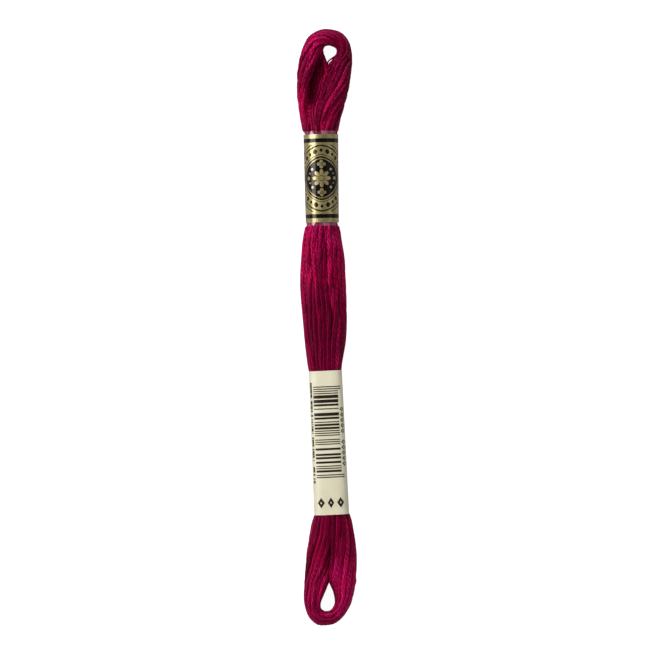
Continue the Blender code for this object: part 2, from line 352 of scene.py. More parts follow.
@dataclass
class ThreadLay:
    """Lays the turns of floss: packs the threads of each station together and runs them smoothly on.

    fill is how full of thread a section is. wander, mixing and sinking are how far a thread strays in its
    section, past the groove and under the skin. firm and gentle are the strengths of a push or a smoothing.
    skin is the share of its radius by which a thread keeps inside its section, and lost the share of the
    section that a full hollow takes.
    """

    form: HankForm
    turns: int = 25
    fill: float = 0.86
    station_step: float = 2.0
    bends: int = 20
    rounds: int = 260
    last_rounds: int = 6
    firm: float = 0.5
    gentle: float = 0.3
    wander: float = 0.38
    mixing: float = 1.6
    skin: float = 0.85
    sinking: float = 0.6
    lost: float = 0.6
    stations: Stations = field(init=False)
    radius: Array = field(init=False)
    out: Array = field(init=False)
    up: Array = field(init=False)
    sunk: Array = field(init=False)

    def __post_init__(self) -> None:
        """Sets the stations out and starts the threads off."""
        top, bottom = self.form.courses[0].y, self.form.courses[-1].y
        count = round((top - bottom) / self.station_step) + 1
        self.stations = self.form.stations(np.linspace(bottom, top, count), self.bends)
        self.radius = self.thread_radius(self.stations)
        self._start()

    def thread_radius(self, stations: Stations) -> Array:
        """Radius of a thread where all of them share the station's area."""
        kept = 1 - self.lost * (1 - stations.shelf)
        return np.sqrt(self.fill * stations.area() * kept / (self.turns * math.pi))

    def _start(self) -> None:
        """Spreads the threads over each station, rolled and wandering a little."""
        st = self.stations
        rng = np.random.default_rng(SEED)
        order = np.arange(self.turns)
        ring = np.sqrt((order + 0.5) / self.turns)
        angle = order * GOLDEN_ANGLE
        count = len(st.width)
        x = np.cos(angle[None, :] + st.roll[:, None]) * ring
        z = np.sin(angle[None, :] + st.roll[:, None]) * ring
        x += self.wander * self._drift(rng, count, 8)
        z += self.wander * self._drift(rng, count, 8)
        self.sunk = self.sinking * np.clip(self._drift(rng, count, 7), 0, 1)
        size = np.maximum(np.hypot(x, z), 1e-9)
        squeeze = np.minimum(1, 0.98 / size)
        x, z = x * squeeze, z * squeeze
        self.out = st.width[:, None] * (1 + x) / 2
        offset = np.clip((self.out - st.centre[:, None]) / st.half_width[:, None], -0.98, 0.98)
        chord = np.sqrt(1 - offset**2) / np.sqrt(np.maximum(1 - x**2, 0.05))
        self.up = st.centre_z[:, None] + st.half_height[:, None] * np.clip(z * chord, -1, 1)

    def _drift(self, rng: np.random.Generator, count: int, waves: int) -> Array:
        """Makes a slow closed wander along each thread.

        Args:
            rng: where its chance comes from.
            count: how many stations there are.
            waves: how many waves it is made of.

        Returns:
            The wander of each thread in each station, about 1 high.
        """
        along = np.linspace(0, math.tau, count, endpoint=False)[:, None]
        total = np.zeros((count, self.turns))
        for wave in range(1, waves + 1):
            phase = rng.uniform(0, math.tau, self.turns)
            size = rng.normal(0, 1, self.turns) / wave**0.4
            total += size * np.sin(wave * along + phase)
        return total / math.sqrt(waves) * 1.1

    def pack(self) -> None:
        """Pushes the threads apart and into their sections, and smooths them, until they lie still."""
        for step in range(self.rounds):
            late = step / self.rounds
            self._push_apart(self.firm if late < 0.9 else self.gentle)
            self._contain()
            if step % 2 == 0:
                self._smooth(self.firm if late < 0.5 else self.gentle)
        for _ in range(self.last_rounds):
            self._contain()
            self._smooth((self.firm + self.gentle) / 2)
        self._contain()

    def _push_apart(self, strength: float) -> None:
        """Moves each thread away from those that it overlaps, which on the arms are also the other arm's.

        Args:
            strength: the share of the overlap that is undone.
        """
        st = self.stations
        for groups, signs in ((st.opposite(), (-1, 1)), ([np.flatnonzero(~st.on_arms())], (1,))):
            x = np.concatenate([sign * self.out[k] for k, sign in zip(groups, signs)], axis=1)
            z = np.concatenate([self.up[k] for k in groups], axis=1)
            reach = np.repeat(np.stack([self.radius[k] for k in groups], axis=1), self.turns, axis=1)
            gap_x = x[:, :, None] - x[:, None, :]
            gap_z = z[:, :, None] - z[:, None, :]
            gap = np.sqrt(gap_x**2 + gap_z**2) + 1e-6
            bite = np.maximum(reach[:, :, None] + reach[:, None, :] - gap, 0) / 2
            bite[:, range(x.shape[1]), range(x.shape[1])] = 0
            dx = strength * (bite * gap_x / gap).sum(axis=2)
            dz = strength * (bite * gap_z / gap).sum(axis=2)
            for n, (k, sign) in enumerate(zip(groups, signs)):
                own = slice(n * self.turns, (n + 1) * self.turns)
                self.out[k] += sign * dx[:, own]
                self.up[k] += dz[:, own]

    def _contain(self) -> None:
        """Brings each thread back inside its section, onto the surface and under the shelf."""
        st = self.stations
        left, right = st.opposite()
        own = np.arange(len(st.width))
        beside = own.copy()
        beside[left], beside[right] = right, left
        home = np.where(self.out < 0, beside[:, None], own[:, None])
        allow = st.on_arms() * self.mixing * np.clip(1 - st.centre / st.half_width * 3, 0, 1)
        self.out = np.maximum(self.out, -allow[:, None])
        away = np.abs(self.out)
        reach = self.radius[:, None]
        a = np.maximum(st.half_width[home] - self.skin * reach, 0.2)
        b = np.maximum(st.half_height[home] - self.skin * reach - self.sunk, 0.2)
        u = (away - st.centre[home]) / a
        v = (self.up - st.centre_z[home]) / b
        far = np.hypot(u, v)
        pull = np.where(far > 1, 1 / np.maximum(far, 1e-9), 1)
        away = st.centre[home] + u * pull * a
        self.up = st.centre_z[home] + v * pull * b
        self.out = np.where(self.out < 0, -away, away)
        ledge = np.clip((self.out / st.width[:, None] - st.brink()[:, None]) / 0.12, 0, 1)
        drop = (1 - st.shelf[:, None]) * (1 - ledge**2 * (3 - 2 * ledge))
        ceiling = (st.centre_z + st.half_height)[:, None] * (1 - drop) - reach
        self.up = np.minimum(self.up, ceiling)
        self.up = np.maximum(self.up, reach)

    def _smooth(self, amount: float) -> None:
        """Draws each thread towards a smooth run from station to station, turning with the roll.

        Args:
            amount: how far it is drawn, from 0 to 1.
        """
        st = self.stations
        half = st.width[:, None] / 2
        x = self.out / half - 1
        z = (self.up - st.centre_z[:, None]) / st.half_height[:, None]
        cos, sin = np.cos(st.roll)[:, None], np.sin(st.roll)[:, None]
        p, q = x * cos + z * sin, z * cos - x * sin
        p += amount * ((np.roll(p, 1, axis=0) + np.roll(p, -1, axis=0)) / 2 - p)
        q += amount * ((np.roll(q, 1, axis=0) + np.roll(q, -1, axis=0)) / 2 - q)
        self.out = (p * cos - q * sin + 1) * half
        self.up = (p * sin + q * cos) * st.half_height[:, None] + st.centre_z[:, None]

    def at(self, stations: Stations) -> tuple[Array, Array]:
        """The threads' places in finer stations.

        Args:
            stations: the stations of the drawn threads.

        Returns:
            Distance from the inner point and height of each thread in each of them, in millimetres.
        """
        st = self.stations
        knots, length = travel(st)
        knots = np.concatenate([knots[-3:] - length, knots, knots[:3] + length])
        asked, _ = travel(stations, length)
        found = []
        for values, middle, size, new_middle, new_size in (
            (self.out, st.width / 2, st.width / 2, stations.width / 2, stations.width / 2),
            (self.up, st.centre_z, st.half_height, stations.centre_z, stations.half_height),
        ):
            share = (values - middle[:, None]) / size[:, None]
            rows = np.concatenate([share[-3:], share, share[:3]])
            found.append(hermite(knots, rows, asked) * new_size[:, None] + new_middle[:, None])
        return found[0], found[1]


def travel(stations: Stations, total: float | None = None) -> tuple[Array, float]:
    """Distance round the middle of the hank to each station.

    Args:
        stations: the stations of one turn.
        total: the length that the whole round is scaled to, if it is given.

    Returns:
        The distance to each station, and the length of the whole round.
    """
    middle = stations.inner + stations.across * stations.width[:, None] / 2
    step = np.linalg.norm(np.roll(middle, -1, axis=0) - middle, axis=1)
    length = float(step.sum())
    scale = 1 if total is None else total / length
    return np.concatenate([[0], np.cumsum(step)[:-1]]) * scale, length * scale


@dataclass
class Floss:
    """The turns of floss, each of six strands, drawn as soft tubes.

    The strands of a turn lie on a ring. strand_share and ring_share are the strand's and the ring's radius
    as shares of the thread's, and twists the least and most twists of a turn in a round. A pair of a size
    and a count is a wave: how high it is, and at most how many of it there are in a round. swelling and
    looseness change the ring's size and angle along a turn. slipping, spreading, stray, thinning and fading
    change one strand's angle, ring, place, radius and tone. Where a turn is pressed smooth its strands are
    larger (flattening), closer (tightening), more alike (evening) and nearer its skin (skin). loose is the
    height, the distance and the run with which one strand stands off the upper eye's rim. sleeves is where
    the bands hold the strands in, and mouths where they begin and end. Lengths are in millimetres. The
    arrays have a row for each strand and a column for each station.
    """

    lay: ThreadLay
    strands: int = 6
    strand_share: float = 0.64
    ring_share: float = 0.43
    twists: tuple[int, int] = (24, 34)
    swelling: tuple[float, int] = (0.05, 9)
    looseness: tuple[float, int] = (1.2, 8)
    slipping: tuple[float, int] = (0.25, 14)
    spreading: tuple[float, int] = (0.10, 14)
    stray: tuple[float, int] = (0.15, 9)
    thinning: tuple[float, int] = (0.04, 12)
    fading: tuple[float, int] = (0.35, 16)
    turn_tones: float = 0.7
    strand_tones: float = 0.5
    overlap: float = 0.4
    overlap_run: float = 1.6
    # Painted light and shade: the table below and the hollow's and the fold's darkening lighten and darken the
    # strands' tone, with painted shade in the hollow under the shelf and beside the groove.
    painted_shades: tuple[PaintedShade, ...] = PAINTED_SHADES
    hollow_shade: float = 0.8
    hollow_pressed: float = 0.8
    fold_shades: tuple[float, float] = (0.3, 1.6)
    flattening: float = 0.46
    tightening: float = 0.60
    evening: float = 0.7
    skin: float = 0.6
    loose: tuple[float, float, float] = (72.9, 1.0, 1.2)
    loose_thinning: float = 0.45
    sleeves: tuple[tuple[float, float], ...] = ((27.45, 53.75), (-51.2, -11.5))
    snug: float = 0.06
    clearance: float = 0.02
    pieces: int = 5
    mouths: tuple[tuple[float, float], ...] = ((-51.8, -51.0), (-11.7, -10.9), (26.85, 27.65), (53.55, 54.35))
    shown_step: float = 1.25
    hidden_step: float = 3.0
    mouth_step: float = 0.4
    bends: int = 28
    sides: int = 6
    map_offset: float = 1.37
    stations: Stations = field(init=False)
    run: Array = field(init=False)
    length: float = field(init=False)
    pressed: Array = field(init=False)
    out: Array = field(init=False)
    up: Array = field(init=False)
    reach: Array = field(init=False)
    tone: Array = field(init=False)

    def __post_init__(self) -> None:
        """Twists the strands together and fits them into the hank."""
        self.stations = self.lay.form.stations(self._heights(), self.bends)
        self.run, self.length = travel(self.stations)
        self._twist()
        self._trim()
        self._paint_light_and_shade()
        self._loosen()
        self._settle()

    def _heights(self) -> Array:
        """Sets out the drawn sections of the arms: close together where the floss shows or enters a band.

        Returns:
            Their rising Y.
        """
        bottom, top = self.lay.form.courses[-1].y, self.lay.form.courses[0].y
        stops = (bottom, *(y for mouth in self.mouths for y in mouth), top)
        steps = (self.shown_step, self.mouth_step, self.hidden_step, self.mouth_step) * 2 + (self.shown_step,)
        rows = [
            np.linspace(start, end, max(round((end - start) / step), 1), endpoint=False)
            for start, end, step in zip(stops, stops[1:], steps)
        ]
        return np.concatenate([*rows, [top]])

    def _twist(self) -> None:
        """Twists the strands of each turn round each other."""
        middles, heights = (values.T for values in self.lay.at(self.stations))
        thread = self.lay.thread_radius(self.stations)
        pressed = np.maximum(self._painted_shades_here()[-1], self.hollow_pressed * self._hollow(middles))
        self.pressed = np.repeat(pressed, self.strands, axis=0)
        self.out, self.up, self.reach, self.tone = (np.empty_like(self.pressed) for _ in range(4))
        rng = np.random.default_rng(SEED + 1)
        sway = partial(self._sway, rng)
        for t, (middle, height, smooth) in enumerate(zip(middles, heights, pressed)):
            twists = rng.integers(*self.twists)
            swell = 1 + sway(*self.swelling)
            lay = rng.uniform(0, math.tau) + math.tau * twists * self.run / self.length
            lay = lay + sway(*self.looseness)
            tone = rng.normal(0, self.turn_tones)
            for s in range(self.strands):
                k = t * self.strands + s
                angle = lay + math.tau * s / self.strands + sway(*self.slipping)
                ring = self.ring_share * (1 + sway(*self.spreading)) * thread * swell
                ring *= 1 - self.tightening * smooth
                self.out[k] = middle + ring * np.cos(angle) + sway(*self.stray)
                self.up[k] = height + ring * np.sin(angle) + sway(*self.stray)
                self.reach[k] = self.strand_share * thread * (1 + sway(*self.thinning))
                self.reach[k] *= 1 + self.flattening * smooth
                own = rng.normal(0, self.strand_tones) + sway(*self.fading)
                self.tone[k] = tone + own * (1 - self.evening * smooth)

    def _sway(self, rng: np.random.Generator, size: float, waves: int) -> Array:
        """Makes a closed, uneven wave along a strand, of four even ones.

        Args:
            rng: where its chance comes from.
            size: about how high it is.
            waves: the most waves that one of the four has in a round.

        Returns:
            Its height in each station.
        """
        total = np.zeros_like(self.run)
        for _ in range(4):
            wave = rng.integers(2, waves + 1)
            height = rng.normal(0, 0.6)
            total += height * np.sin(math.tau * wave * self.run / self.length + rng.uniform(0, math.tau))
        return size * total

    def _painted_shades_here(self) -> list[Array]:
        """The columns of the table of painted light and shade and pressing, in each station."""
        knots, *columns = np.array(self.painted_shades).T
        return [np.interp(self.stations.inner[:, 1], knots, column) for column in columns]

    def _hollow(self, out: Array) -> Array:
        """How far each place lies in the hollow under the shelf, from 0 to 1."""
        inner = np.clip((self.stations.brink() + 0.06 - out / self.stations.width) / 0.10, 0, 1)
        return inner * np.clip((1 - self.stations.shelf) / 0.6, 0, 1)

    def _trim(self) -> None:
        """Spreads the strands to just reach the outline and the eye's rim, and to lap at the groove."""
        st, courses = self.stations, self.lay.form.courses
        y = st.inner[:, 1]
        low = (self.out - self.reach).min(axis=0)
        high = (self.out + self.reach).max(axis=0)
        low = np.maximum(low, (np.roll(low, 1) + 2 * low + np.roll(low, -1)) / 4)
        high = np.minimum(high, (np.roll(high, 1) + 2 * high + np.roll(high, -1)) / 4)
        parted = np.clip((st.centre / st.half_width - 0.2) / 0.15, 0, 1)
        past = np.minimum(y - courses[-1].y, courses[0].y - y)
        lapped = self.overlap * np.clip(past / self.overlap_run, 0, 1)
        new_low = low * (1 - parted) - lapped * parted
        self.out = new_low + (self.out - low) * (st.width - new_low) / (high - low)

    def _paint_light_and_shade(self) -> None:
        """Paints light and shade into the strands' tone: across each arm, in the hollow and beside the groove.
        """
        st = self.stations
        outline_left, rim_left, rim_right, outline_right, _ = self._painted_shades_here()
        on_left = np.interp(np.arange(len(st.width)), *st.turning())
        share = self.out / st.width
        # Painted light and shade across each arm, going from its rim to its outline.
        rim = rim_left * on_left + rim_right * (1 - on_left)
        outline = outline_left * on_left + outline_right * (1 - on_left)
        # Painted shade in the hollow under the shelf, darkest towards the groove.
        deep = self._hollow(self.out) * (1.6 - 1.5 * np.clip(share / st.brink(), 0, 1))
        # Painted shade on the right arm beside the groove where it parts, much stronger in the upper half.
        fold = np.clip(1 - share / 0.35, 0, 1) * np.clip(st.centre / st.half_width / 0.3, 0, 1)
        fold = fold * np.where(st.inner[:, 1] < 0, *self.fold_shades) * (on_left == 0)
        self.tone += rim + (outline - rim) * np.clip(share, 0, 1) - self.hollow_shade * deep - fold

    def _loosen(self) -> None:
        """Lets one strand at the upper eye's rim stand off it, and draws that strand thin there."""
        height, away, stretch = self.loose
        late = (self.stations.side == Side.UPPER_EYE.value) & (self.stations.inner[:, 0] > 0)
        spot = np.flatnonzero(late)[np.argmin(np.abs(self.stations.inner[late, 1] - height))]
        k = np.argmin(self.out[:, spot])
        share = np.exp(-(((self.run - self.run[spot]) / stretch) ** 2))
        self.out[k] -= away * share
        self.reach[k] *= 1 - self.loose_thinning * share

    def _settle(self) -> None:
        """Keeps the strands inside the sleeves and off the ground, and evens out the skin that is pressed."""
        st = self.stations
        y = st.inner[:, 1]
        inside = st.on_arms() & np.any([(y > low) & (y < high) for low, high in self.sleeves], axis=0)
        a = st.half_width - self.reach - self.snug
        b = st.half_height - self.reach - self.snug
        u, v = (np.abs(self.out) - st.centre) / a, (self.up - st.centre_z) / b
        far = np.maximum(np.hypot(u, v), 1e-9)
        skin = np.clip((far - 0.5) / 0.3, 0, 1) * (v > 0)
        clear = np.clip((self.out / st.width - st.brink() - 0.04) / 0.12, 0, 1)
        clear = np.where(st.shelf < 0.999, clear, 1.0)
        wanted = far + self.skin * self.pressed * skin * clear * np.minimum(1 - far, 0.25)
        wanted = np.where(inside, np.minimum(wanted, 1), wanted)
        pull = wanted / far
        moved = st.centre + u * pull * a
        self.out = np.where(self.out < 0, -moved, moved)
        self.up = np.maximum(st.centre_z + v * pull * b, self.reach + self.clearance)

    def build(self, material: Material) -> list[Object]:
        """Draws the strands, a few turns to a piece.

        Args:
            material: the floss's finish.

        Returns:
            The finished pieces.
        """
        runs = self.stations.place(self.out.T, self.up.T).swapaxes(0, 1)
        profile = self._profile()
        made = []
        for number, rows in enumerate(np.array_split(np.arange(len(runs)), self.pieces), 1):
            obj = self._tubes(f"floss_turns_{number}", runs[rows], self.reach[rows], profile)
            self._mark(obj.data, runs[rows], self.tone[rows])
            obj.data.materials.clear()
            obj.data.materials.append(material)
            made.append(obj)
        bpy.data.objects.remove(profile)
        return made

    def _profile(self) -> Object:
        """Makes the round section of a strand.

        Returns:
            A closed curve of radius 1.
        """
        select_none()
        bpy.ops.mesh.primitive_circle_add(vertices=self.sides, radius=1.0)
        bpy.ops.object.convert(target="CURVE")
        profile = bpy.context.object
        profile.name = "strand_section"
        return profile

    @staticmethod
    def _tubes(name: str, runs: Array, sizes: Array, profile: Object) -> Object:
        """Draws closed tubes.

        Args:
            name: the piece's name.
            runs: the points that each tube runs through, in millimetres.
            sizes: the tube's radius at each of them.
            profile: the tubes' section, of radius 1.

        Returns:
            The mesh of all the tubes.
        """
        select_none()
        bpy.ops.curve.primitive_nurbs_path_add()
        obj = bpy.context.object
        curve = obj.data
        curve.dimensions = "3D"
        curve.twist_mode = "Z_UP"
        curve.splines.clear()
        for run, size in zip(runs, sizes):
            spline = curve.splines.new("POLY")
            spline.points.add(len(run) - 1)
            spots = np.concatenate([run * MM, np.ones((len(run), 1))], axis=1)
            spline.points.foreach_set("co", spots.ravel())
            spline.points.foreach_set("radius", size * MM)
            spline.use_cyclic_u = True
        curve.bevel_mode = "OBJECT"
        curve.bevel_object = profile
        bpy.ops.object.convert(target="MESH")
        obj = bpy.context.object
        obj.name = obj.data.name = name
        obj.data.shade_smooth()
        return obj

    def _mark(self, mesh: bpy.types.Mesh, runs: Array, tones: Array) -> None:
        """Gives the tubes a map in millimetres along and shares of a turn round, and each strand its tone.

        Args:
            mesh: the mesh of the tubes.
            runs: the points that each tube runs through.
            tones: the strand's tone at each of them, painted light and shade included.
        """
        step = np.linalg.norm(np.roll(runs, -1, axis=1) - runs, axis=2)
        along = np.concatenate([np.zeros((len(runs), 1)), np.cumsum(step, axis=1)], axis=1)
        layer = mesh.uv_layers[0]
        layer.name = "strand"
        uv = np.empty(len(mesh.loops) * 2)
        layer.data.foreach_get("uv", uv)
        uv = uv.reshape(len(runs), -1, 2)
        index = np.rint(uv[:, :, 0] * runs.shape[1]).astype(int)
        offset = self.map_offset * np.arange(len(runs))[:, None]
        uv[:, :, 0] = np.take_along_axis(along, index, axis=1) + offset
        layer.data.foreach_set("uv", uv.ravel())
        tone = mesh.attributes.new("tone", "FLOAT", "POINT")
        tone.data.foreach_set("value", np.repeat(tones.ravel(), self.sides))


def select_none() -> None:
    """Leaves object mode with nothing selected, so that an operator acts on the new piece alone."""
    if bpy.context.object and bpy.context.object.mode != "OBJECT":
        bpy.ops.object.mode_set(mode="OBJECT")
    bpy.ops.object.select_all(action="DESELECT")


@dataclass
class Wrap:
    """A band: a printed sheet wrapped round the hank, its ends lapped underneath. Sizes in millimetres.

    x, y and axis_z are its middle, turned is its tilt in degrees and sheet its thickness. It is half_upper
    wide each way at its upper end and half_lower at its lower one. ripple is how uneven the sheet is, and
    square how square the oval that it is wrapped round, from 2 for a plain one.
    """

    name: str
    x: float
    y: float
    length: float
    half_upper: float
    half_lower: float
    half_height: float
    axis_z: float
    turned: float
    sheet: float
    lap: float
    ripple: float
    square: float = 2.0
    around: int = 144
    along: int = 24

    @property
    def girth(self) -> float:
        """Distance once round the sleeve, in millimetres."""
        a, b = (self.half_upper + self.half_lower) / 2, self.half_height
        return math.pi * (3 * (a + b) - math.sqrt((3 * a + b) * (a + 3 * b)))

    def build(self, material: Material) -> Object:
        """Wraps the sheet.

        Args:
            material: the sheet's printed finish.

        Returns:
            The finished band.
        """
        select_none()
        bpy.ops.mesh.primitive_grid_add(x_subdivisions=self.around, y_subdivisions=self.along, size=1.0)
        obj = bpy.context.object
        obj.name = obj.data.name = self.name
        mesh = obj.data
        mesh.uv_layers[0].name = "print"
        flat = np.empty(len(mesh.vertices) * 3)
        mesh.vertices.foreach_get("co", flat)
        flat = flat.reshape(-1, 3)
        mesh.vertices.foreach_set("co", self._wrapped(flat[:, 0], flat[:, 1]).ravel() * MM)
        mesh.update()
        wall = obj.modifiers.new("sheet", "SOLIDIFY")
        wall.thickness = self.sheet * MM
        wall.offset = -1
        wall.use_even_offset = True
        bpy.ops.object.modifier_apply(modifier="sheet")
        mesh.shade_smooth()
        bpy.ops.object.shade_smooth_by_angle(angle=math.radians(40))
        mesh.materials.append(material)
        return obj

    def _wrapped(self, across: Array, along: Array) -> Array:
        """Wraps places on the flat sheet round the hank.

        Args:
            across: from -0.5 to 0.5, round the hank.
            along: from -0.5 to 0.5, from its lower end to its upper one.

        Returns:
            Their points in space, in millimetres.
        """
        lap_angle = math.tau * self.lap / self.girth
        angle = across * (math.tau + lap_angle)
        tuck = np.clip((angle - (math.pi - lap_angle / 2)) / (lap_angle * 0.5) + 1, 0, 1)
        ease = self.sheet * 1.3 * tuck * tuck * (3 - 2 * tuck)
        down = along + 0.5
        half_width = self.half_lower + (self.half_upper - self.half_lower) * down
        wave = self.ripple * (
            np.sin(7 * angle + 2.2 * along + 0.6) * 0.5 + np.sin(11 * angle - 3.1 * along) * 0.3 - 0.8
        )
        sine, cosine = np.sin(angle), np.cos(angle)
        bulge = (np.abs(sine) ** self.square + np.abs(cosine) ** self.square) ** (-1 / self.square)
        x = (half_width - ease + wave) * sine * bulge
        z = (self.half_height - ease + wave) * cosine * bulge
        run = along * self.length
        sin_turn, cos_turn = math.sin(math.radians(self.turned)), math.cos(math.radians(self.turned))
        place_x = self.x + x * cos_turn - run * sin_turn
        place_y = self.y + x * sin_turn + run * cos_turn
        return np.stack([place_x, place_y, self.axis_z + z], axis=1)


def operation(kind: str, swapped: bool = False) -> Callable[..., "Value"]:
    """Makes a method of Value that adds a Math node.

    Args:
        kind: the node's operation.
        swapped: whether the value is the node's last input instead of its first.

    Returns:
        The method.
    """

    def combined(value: "Value", *others: object) -> "Value":
        """Adds the node for the value and the others that it is combined with."""
        return value.graph.maths(kind, *others, value) if swapped else value.graph.maths(kind, value, *others)

    return combined


class Value:
    """A number in a node tree: the output of a node, with the arithmetic of Math nodes.

    a > b and a < b are 1 where that is so and 0 elsewhere. a | b is the greater and a & b the lesser of the
    two. As masks, a * b is where both are set, a | b where either is, and 1.0 - a where a isn't.
    """

    __add__, __sub__, __mul__, __truediv__ = map(operation, ("ADD", "SUBTRACT", "MULTIPLY", "DIVIDE"))
    __lt__, __gt__, __and__, __or__ = map(operation, ("LESS_THAN", "GREATER_THAN", "MINIMUM", "MAXIMUM"))
    __pow__, __abs__, modulo, arctan2 = map(operation, ("POWER", "ABSOLUTE", "MODULO", "ARCTAN2"))
    floor, fract, ceil, wrap = map(operation, ("FLOOR", "FRACT", "CEIL", "WRAP"))
    root, sine, cosine = map(operation, ("SQRT", "SINE", "COSINE"))
    __rsub__ = operation("SUBTRACT", swapped=True)

    def __init__(self, graph: "Graph", socket: Socket) -> None:
        """Keeps the graph and the output."""
        self.graph, self.socket = graph, socket

    def repeated(self, half: float) -> "Value":
        """The value carried back into -half..half over and over."""
        return self.wrap(half, -half)

    def ranged(self, low: float, high: float, first: float = 0.0, last: float = 1.0) -> "Value":
        """The value carried smoothly from low..high to first..last."""
        limits = {"_1": low, "_2": high, "_3": first, "_4": last}
        return self.graph.value("MapRange", interpolation_type="SMOOTHSTEP", _0=self, **limits)

    def within(self, low: object, high: object, soft: float = 0.04) -> "Value":
        """1 between the two limits, 0 elsewhere, with soft edges."""
        return self.graph.placed(self.graph.shared.line, Value=self, From=low, To=high, Soft=soft)[0]


class Graph:
    """A node tree, with short ways to add nodes to it."""

    def __init__(self, tree: Tree, shared: "SharedGroups | None" = None) -> None:
        """Keeps the tree and the shared groups that it may place."""
        self.tree = tree
        self.shared = shared

    def feed(self, socket: Socket, value: object) -> None:
        """Gives an input its value.

        Args:
            socket: the input.
            value: the value or output that is linked to it, or the constant that it is set to.
        """
        value = value.socket if isinstance(value, Value) else value
        if isinstance(value, Socket):
            self.tree.links.new(value, socket)
        else:
            socket.default_value = value

    def node(self, kind: str, **settings: object) -> bpy.types.Node:
        """Adds a node.

        Args:
            kind: the node's type without "ShaderNode".
            **settings: properties by name, or input values by name or number after an underscore.

        Returns:
            The new node.
        """
        made = self.tree.nodes.new("ShaderNode" + kind)
        for key, value in settings.items():
            if key.startswith("_"):
                self.feed(made.inputs[int(key[1:]) if key[1:].isdigit() else key[1:]], value)
            else:
                setattr(made, key, value)
        return made

    def value(self, kind: str, output: int | str = 0, **settings: object) -> Value:
        """Adds a node and takes one of its outputs."""
        return Value(self, self.node(kind, **settings).outputs[output])

    def maths(self, kind: str, *inputs: object) -> Value:
        """Adds a Math node with these inputs."""
        return self.value("Math", operation=kind, **{f"_{k}": given for k, given in enumerate(inputs)})

    def split(self, vector: object) -> list[Value]:
        """The three numbers of a vector or a colour."""
        return [Value(self, output) for output in self.node("SeparateXYZ", _0=vector).outputs]

    def mixed(self, share: object, first: object, second: object) -> Value:
        """Adds a Mix node that goes from the first colour to the second."""
        return self.value("Mix", 2, data_type="RGBA", _0=share, _6=first, _7=second)

    def noise(self, where: object, scale: object, detail: float = 2.0) -> Value:
        """Adds a Noise texture."""
        return self.value("TexNoise", "Fac", _Vector=where, _Scale=scale, _Detail=detail)

    def chance(self, step: Value, output: str) -> Value:
        """Adds a random number or colour for each whole step."""
        return self.value("TexWhiteNoise", output, noise_dimensions="1D", _W=step)

    def placed(self, group: Tree, **inputs: object) -> list[Value]:
        """Places a node group.

        Args:
            group: the group.
            **inputs: its inputs by name.

        Returns:
            Its outputs in order.
        """
        made = self.tree.nodes.new("ShaderNodeGroup")
        made.node_tree = group
        for name, value in inputs.items():
            self.feed(made.inputs[name], value)
        return [Value(self, output) for output in made.outputs]


class SharedGroups:
    """The node groups that more than one material places."""

    def __init__(self) -> None:
        """Makes the groups."""
        made = self._made
        self.sheet_place = made("sheet_place", self._sheet_place, "Across Down", Width=30.0, Length=30.0)
        self.line = made("printed_line", self._line, "Mask", Value=0.0, From=0.0, To=1.0, Soft=0.04)
        self.grain = made("sheet_grain", self._grain, "Cloud Grain", CloudScale=300.0, GrainScale=4000.0)

    @staticmethod
    def _made(name: str, find: Callable[..., list[Value]], outputs: str, **inputs: float) -> Tree:
        """Makes a group of number sockets.

        Args:
            name: the group's name.
            find: works out the outputs from the group's graph and its inputs.
            outputs: the outputs' names.
            **inputs: each input's name and usual value.

        Returns:
            The group.
        """
        tree = bpy.data.node_groups.new(name, "ShaderNodeTree")
        add = partial(tree.interface.new_socket, socket_type="NodeSocketFloat")
        for label, usual in inputs.items():
            add(label, in_out="INPUT").default_value = usual
        for label in outputs.split():
            add(label, in_out="OUTPUT")
        graph = Graph(tree)
        given, found = tree.nodes.new("NodeGroupInput"), tree.nodes.new("NodeGroupOutput")
        values = find(graph, *(Value(graph, given.outputs[label]) for label in inputs))
        for label, value in zip(outputs.split(), values):
            graph.feed(found.inputs[label], value)
        return tree

    @staticmethod
    def _sheet_place(graph: Graph, width: Value, length: Value) -> list[Value]:
        """Millimetres across a band's sheet from its top middle, and down from its upper end."""
        u, v, _ = graph.split(graph.node("UVMap", uv_map="print").outputs[0])
        return [(u - 0.5) * width, (1.0 - v) * length]

    @staticmethod
    def _line(graph: Graph, value: Value, start: Value, end: Value, soft: Value) -> list[Value]:
        """A printed line: 1 where the value is between the two others, with edges as soft as asked."""
        off = abs(value - (start + end) * 0.5)
        return [graph.value("Clamp", _0=((end - start) * 0.5 - off) / soft + 0.5)]

    @staticmethod
    def _grain(graph: Graph, cloud_scale: Value, grain_scale: Value) -> list[Value]:
        """Uneven paper fibre or ink: a coarse cloudiness and a fine grain, both about 0.5."""
        where = graph.node("TexCoord").outputs["Object"]
        return [graph.noise(where, cloud_scale, 3.0), graph.noise(where, grain_scale)]


class Surface(Graph):
    """The node tree of a new material."""

    def __init__(self, name: str, shared: SharedGroups) -> None:
        """Makes the material.

        Args:
            name: its name.
            shared: the shared groups.
        """
        self.material = bpy.data.materials.new(name)
        self.material.use_nodes = True
        super().__init__(self.material.node_tree, shared)

    def bumped(self, height: Value, strength: float, distance: float) -> Value:
        """The normal that a bump of this height gives, its distance in metres."""
        return self.value("Bump", _Strength=strength, _Distance=distance, _Height=height)

    def dressed(self, **inputs: object) -> Material:
        """Gives the Principled shader its inputs.

        Args:
            **inputs: the inputs by name, with an underscore for each space.

        Returns:
            The finished material.
        """
        shader = self.tree.nodes["Principled BSDF"]
        for name, value in inputs.items():
            self.feed(shader.inputs[name.replace("_", " ")], value)
        return self.material


def any_of(*masks: Value) -> Value:
    """Where any of the masks is set."""
    return reduce(Value.__or__, masks)


